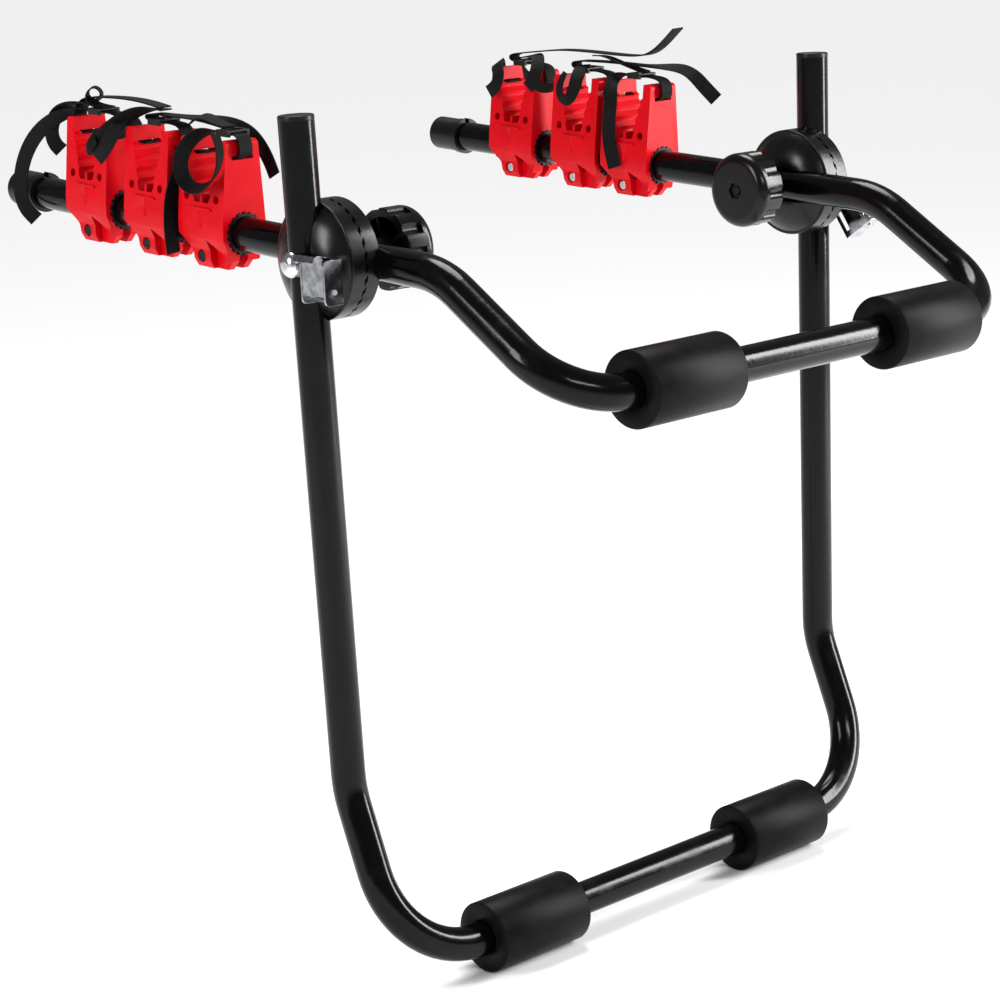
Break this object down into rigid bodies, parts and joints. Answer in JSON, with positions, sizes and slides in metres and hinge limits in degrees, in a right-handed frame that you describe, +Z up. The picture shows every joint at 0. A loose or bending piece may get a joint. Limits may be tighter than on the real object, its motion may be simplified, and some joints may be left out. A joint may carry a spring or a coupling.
{
  "type": "trunk mounted bike rack",
  "caption": "Folding tube-frame bicycle carrier that straps onto the back of a car, with red slide-on cradles on its arms.",
  "frame": {"origin": "middle of the lower crossbar's axis", "axes": "+X to the car's right along the crossbars, +Y away from the car to the arm tips, +Z up"},
  "size_m": [0.6566, 0.7337, 0.7292],
  "materials": {
    "black_tube": "gloss powder coat",
    "black_plastic": "satin moulded",
    "foam": "matte foam",
    "chrome": "bright plated",
    "zinc": "zinc plated",
    "red_plastic": "satin moulded",
    "webbing": "woven nylon"
  },
  "bodies": {
    "bumper_part": {"bumper_frame": "black_tube", "left_upright_cap": "black_plastic", "left_lower_pad": "foam", "left_outer_hub_disc": "black_plastic", "left_hub_bolt": "chrome", "right_upright_cap": "black_plastic", "right_lower_pad": "foam", "right_outer_hub_disc": "black_plastic", "right_hub_bolt": "chrome"},
    "trunk_part": {"trunk_frame": "black_tube", "left_arm_cap": "black_plastic", "left_upper_pad": "foam", "left_inner_hub_disc": "black_plastic", "right_arm_cap": "black_plastic", "right_upper_pad": "foam", "right_inner_hub_disc": "black_plastic"},
    "left_washer_part": {"left_saddle_washer": "black_plastic"},
    "left_knob_part": {"left_knob": "black_plastic", "left_knob_nut": "zinc"},
    "left_buckle_part": {"left_buckle_body": "chrome", "left_cam_pin": "zinc", "left_cam_spring": "zinc"},
    "left_cam_part": {"left_cam_lever": "chrome"},
    "left_cradle_part_1": {"left_cradle_1": "red_plastic", "left_sleeve_1": "black_plastic", "left_clamp_screw_1": "zinc", "left_strap_1": "webbing", "left_strap_slide_1": "black_plastic"},
    "left_cradle_part_2": {"left_cradle_2": "red_plastic", "left_sleeve_2": "black_plastic", "left_clamp_screw_2": "zinc", "left_strap_2": "webbing", "left_strap_slide_2": "black_plastic"},
    "left_cradle_part_3": {"left_cradle_3": "red_plastic", "left_sleeve_3": "black_plastic", "left_clamp_screw_3": "zinc", "left_strap_3": "webbing", "left_strap_slide_3": "black_plastic"},
    "right_washer_part": {"right_saddle_washer": "black_plastic"},
    "right_knob_part": {"right_knob": "black_plastic", "right_knob_nut": "zinc"},
    "right_buckle_part": {"right_buckle_body": "chrome", "right_cam_pin": "zinc", "right_cam_spring": "zinc"},
    "right_cam_part": {"right_cam_lever": "chrome"},
    "right_cradle_part_1": {"right_cradle_1": "red_plastic", "right_sleeve_1": "black_plastic", "right_clamp_screw_1": "zinc", "right_strap_1": "webbing", "right_strap_slide_1": "black_plastic"},
    "right_cradle_part_2": {"right_cradle_2": "red_plastic", "right_sleeve_2": "black_plastic", "right_clamp_screw_2": "zinc", "right_strap_2": "webbing", "right_strap_slide_2": "black_plastic"},
    "right_cradle_part_3": {"right_cradle_3": "red_plastic", "right_sleeve_3": "black_plastic", "right_clamp_screw_3": "zinc", "right_strap_3": "webbing", "right_strap_slide_3": "black_plastic"}
  },
  "joints": [
    {"name": "hub_fold", "type": "hinge", "parent": "bumper_part", "child": "trunk_part", "pos_m": [0, 0.0546, 0.5633], "axis": [1, 0, 0], "range_deg": [-45, 86]},
    {"name": "left_washer_travel", "type": "slide", "parent": "trunk_part", "child": "left_washer_part", "axis": [1, 0, 0], "range_m": [0, 0.0025]},
    {"name": "left_knob_turn", "type": "hinge", "parent": "left_washer_part", "child": "left_knob_part", "pos_m": [-0.24791, 0.0546, 0.5633], "axis": [1, 0, 0], "range_deg": [0, 720]},
    {"name": "left_buckle_swivel", "type": "hinge", "parent": "bumper_part", "child": "left_buckle_part", "pos_m": [-0.28891, 0.0546, 0.5633], "axis": [1, 0, 0], "range_deg": [-50, 210]},
    {"name": "left_cam_press", "type": "hinge", "parent": "left_buckle_part", "child": "left_cam_part", "pos_m": [-0.31191, 0.0091, 0.5483], "axis": [0, -1, 0], "range_deg": [0, 50], "stiffness_Nm_per_rad": 0.05, "springref_deg": -11.46},
    {"name": "left_cradle_slide_1", "type": "slide", "parent": "trunk_part", "child": "left_cradle_part_1", "axis": [0, 0.9981, 0.061], "range_m": [-0.025, 0.002]},
    {"name": "left_cradle_slide_2", "type": "slide", "parent": "trunk_part", "child": "left_cradle_part_2", "axis": [0, 0.9981, 0.061], "range_m": [-0.002, 0.005]},
    {"name": "left_cradle_slide_3", "type": "slide", "parent": "trunk_part", "child": "left_cradle_part_3", "axis": [0, 0.9981, 0.061], "range_m": [-0.005, 0.055]},
    {"name": "right_washer_travel", "type": "slide", "parent": "trunk_part", "child": "right_washer_part", "axis": [-1, 0, 0], "range_m": [0, 0.0025]},
    {"name": "right_knob_turn", "type": "hinge", "parent": "right_washer_part", "child": "right_knob_part", "pos_m": [0.24791, 0.0546, 0.5633], "axis": [-1, 0, 0], "range_deg": [0, 720]},
    {"name": "right_buckle_swivel", "type": "hinge", "parent": "bumper_part", "child": "right_buckle_part", "pos_m": [0.28891, 0.0546, 0.5633], "axis": [1, 0, 0], "range_deg": [-85, 150]},
    {"name": "right_cam_press", "type": "hinge", "parent": "right_buckle_part", "child": "right_cam_part", "pos_m": [0.31191, 0.01672, 0.53397], "axis": [0, -0.5592, -0.829], "range_deg": [0, 50], "stiffness_Nm_per_rad": 0.05, "springref_deg": -11.46},
    {"name": "right_cradle_slide_1", "type": "slide", "parent": "trunk_part", "child": "right_cradle_part_1", "axis": [0, 0.9981, 0.061], "range_m": [-0.06, 0.001]},
    {"name": "right_cradle_slide_2", "type": "slide", "parent": "trunk_part", "child": "right_cradle_part_2", "axis": [0, 0.9981, 0.061], "range_m": [-0.001, 0.005]},
    {"name": "right_cradle_slide_3", "type": "slide", "parent": "trunk_part", "child": "right_cradle_part_3", "axis": [0, 0.9981, 0.061], "range_m": [-0.005, 0.055]}
  ],
  "couplings": [
    {"joint": "left_washer_travel", "follows": "left_knob_turn", "m_per_rad": 0.00019894},
    {"joint": "right_washer_travel", "follows": "right_knob_turn", "m_per_rad": 0.00019894}
  ]
}
